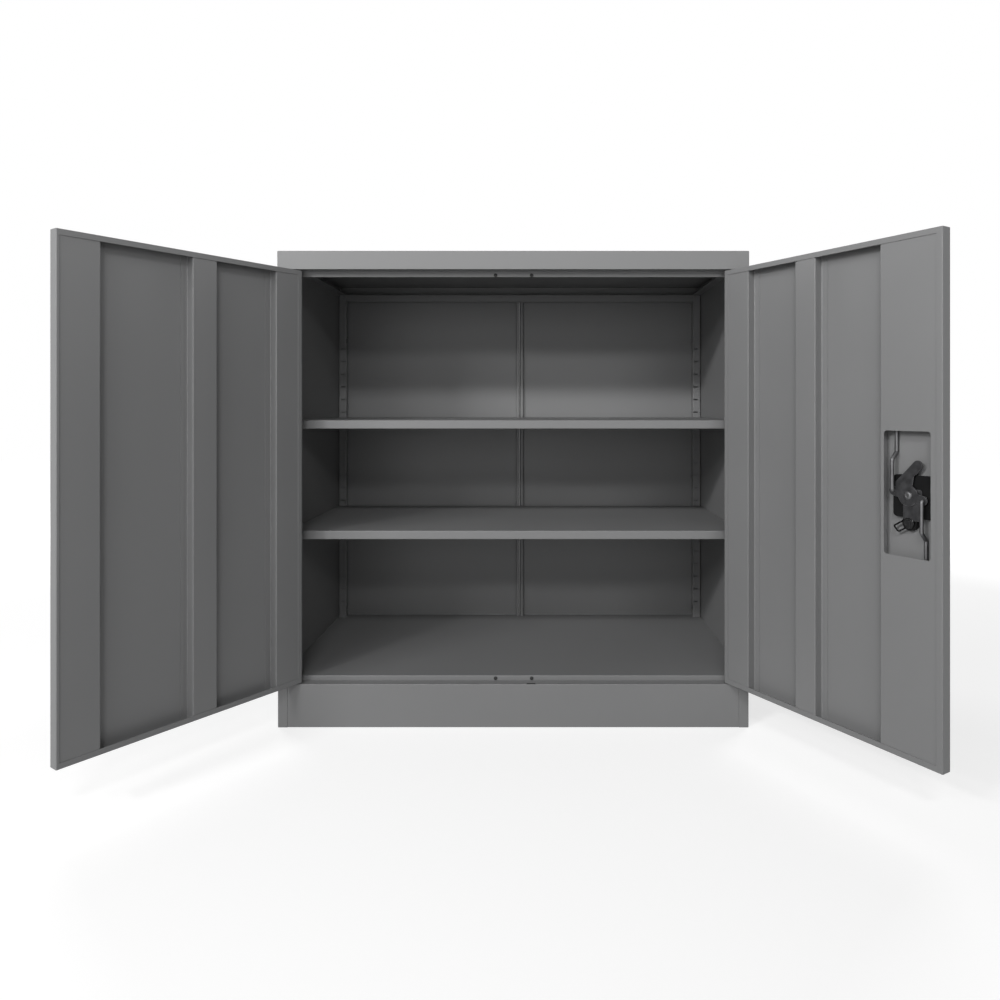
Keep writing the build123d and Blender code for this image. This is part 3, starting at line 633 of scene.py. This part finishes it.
def addDoorBuffers():
    low, high = doorBuffer["heights"]
    values = {"Low": low * mm, "High": high * mm, "Stem Length": doorBuffer["stemLength"] * mm}
    for label in ("Column", "Lip", "Radius", "Head", "Stem", "Dimple"):
        values[label] = doorBuffer[label.lower()] * mm
    values["Steps"] = doorBuffer["steps"]
    values["Material"] = materials["bufferRubber"]
    mesh = meshFromTree("doorBuffers", makeBufferTree(), values)
    addPiece("doorBuffers", mesh, "carcass", "door_buffers")


def addCamScrew():
    # Button head with a hexagonal socket and a thin flange, turned round the spindle's axis.
    radius, height, socket = (camScrew[key] for key in ("radius", "height", "socket"))
    floor = height - camScrew["socketDepth"]
    dome = ((0.6, 1.0), (0.78, 0.86), (0.9, 0.62), (0.96, 0.36))
    rows = [(0.0, floor, True), (socket / 2, floor, True)]
    rows += [(socket / 2, height - 0.1, True), (socket / 2 + 0.25, height, True)]
    rows += [(radius * out, height * rise, False) for out, rise in dome]
    rows += [(radius * 0.97, 0.55, False), (radius, 0.4, False), (radius, 0.0, False), (0.0, 0.0, False)]
    steps = camScrew["steps"]
    across, up = rightDoor["spindle"]
    points = []
    for out, high, hexagonal in rows:
        for step in range(steps):
            angle = 2 * pi * step / steps
            reach = out / cos((angle + pi / 6) % (pi / 3) - pi / 6) if hexagonal else out
            place = (across + reach * cos(angle), camScrew["seat"] + high, up + reach * sin(angle))
            points.append(doorPoint(*place))
    faces = []
    for row in range(0, (len(rows) - 1) * steps, steps):
        for step in range(steps):
            after = (step + 1) % steps
            faces.append((row + step, row + after, row + steps + after, row + steps + step))
    mesh = bpy.data.meshes.new("camScrew")
    mesh.from_pydata(points, [], faces)
    mesh.validate()
    shadeMesh(mesh, materials["zincPlate"])
    addPiece("camScrew", mesh, "lock_handle", "cam_screw")


def addBarrelWire():
    # Round wire through the clip's points, its corners turned over a radius.
    across, up = rightDoor["spindle"]
    corners = [
        doorPoint(across + along, barrelWire["depth"], up - rightDoor["barrelDrop"] + rise)
        for along, rise in barrelWire["points"]
    ]
    path = [corners[0]]
    for before, corner, after in zip(corners, corners[1:], corners[2:]):
        start = (before - corner).normalized() * barrelWire["bend"] * mm
        end = (after - corner).normalized() * barrelWire["bend"] * mm
        for part in range(9):
            way = part / 8
            path.append(corner + start * (1 - way) ** 2 + end * way**2)
    path.append(corners[-1])
    data = bpy.data.curves.new("barrelWire", "CURVE")
    data.dimensions = "3D"
    data.bevel_depth = barrelWire["radius"] * mm
    data.bevel_resolution = 5
    data.use_fill_caps = True
    spline = data.splines.new("POLY")
    spline.points.add(len(path) - 1)
    for point, place in zip(spline.points, path):
        point.co = (*place, 1)
    holder = bpy.data.objects.new("barrelWireCurve", data)
    scene.collection.objects.link(holder)
    bpy.context.view_layer.update()
    mesh = bpy.data.meshes.new_from_object(holder.evaluated_get(bpy.context.evaluated_depsgraph_get()))
    bpy.data.objects.remove(holder)
    mesh.materials.clear()
    mesh.materials.append(materials["springWire"])
    mesh.shade_smooth()
    addPiece("barrelWire", mesh, "right_door", "barrel_clip")


def seenRay(tree):
    # One for a ray that shows the background: the camera's, a reflection's, or one through glass.
    paths = addNode(tree, "ShaderNodeLightPath").outputs
    mirrored = calc(tree, "MAXIMUM", paths["Is Glossy Ray"], paths["Is Transmission Ray"])
    return calc(tree, "MAXIMUM", paths["Is Camera Ray"], mirrored)


def makeWorld():
    world = bpy.data.worlds.new("world")
    world.use_nodes = True
    scene.world = world
    tree = world.node_tree
    seen = addNode(tree, "ShaderNodeBackground", {"Color": (1, 1, 1, 1), "Strength": 1.0})
    soft = addNode(tree, "ShaderNodeBackground", {"Color": (1, 1, 1, 1), "Strength": setting["ambient"]})
    final = addNode(tree, "ShaderNodeMixShader", {0: seenRay(tree), 1: soft.outputs[0], 2: seen.outputs[0]})
    tree.links.new(final.outputs[0], tree.nodes["World Output"].inputs["Surface"])


def makeFloor():
    mesh = bpy.data.meshes.new("floor")
    half = setting["floorSize"] / 2
    corners = [(-half, -half, 0), (half, -half, 0), (half, half, 0), (-half, half, 0)]
    mesh.from_pydata(corners, [], [(0, 1, 2, 3)])
    floor = bpy.data.objects.new("floor", mesh)
    scene.collection.objects.link(floor)
    material = bpy.data.materials.new("paleFloor")
    material.use_nodes = True
    tree = material.node_tree
    shader = tree.nodes["Principled BSDF"]
    shader.inputs["Base Color"].default_value = (*setting["floorColour"], 1)
    shader.inputs["Roughness"].default_value = setting["floorRoughness"]
    shader.inputs["Specular IOR Level"].default_value = 0.0
    shader.inputs["Emission Color"].default_value = (1, 1, 1, 1)
    place = addNode(tree, "ShaderNodeTexCoord").outputs["Object"]
    distance = addNode(tree, "ShaderNodeVectorMath", {0: place}, operation="LENGTH").outputs["Value"]
    near, far = setting["floorFade"]
    glow = spread(tree, distance, near, far, setting["floorGlow"], 1.0)
    tree.links.new(calc(tree, "MULTIPLY", seenRay(tree), glow), shader.inputs["Emission Strength"])
    mesh.materials.append(material)


makeCamera()
for lampName, lampSpec in lamps.items():
    makeLamp(lampName, lampSpec)
makeWorld()
makeFloor()
print("camera, lamps and floor are set")
dressFrame()
print("finishes are on the frame")
addShelfClips()
addDoorBuffers()
addCamScrew()
addBarrelWire()
print("fittings are made")

bpy.context.view_layer.update()
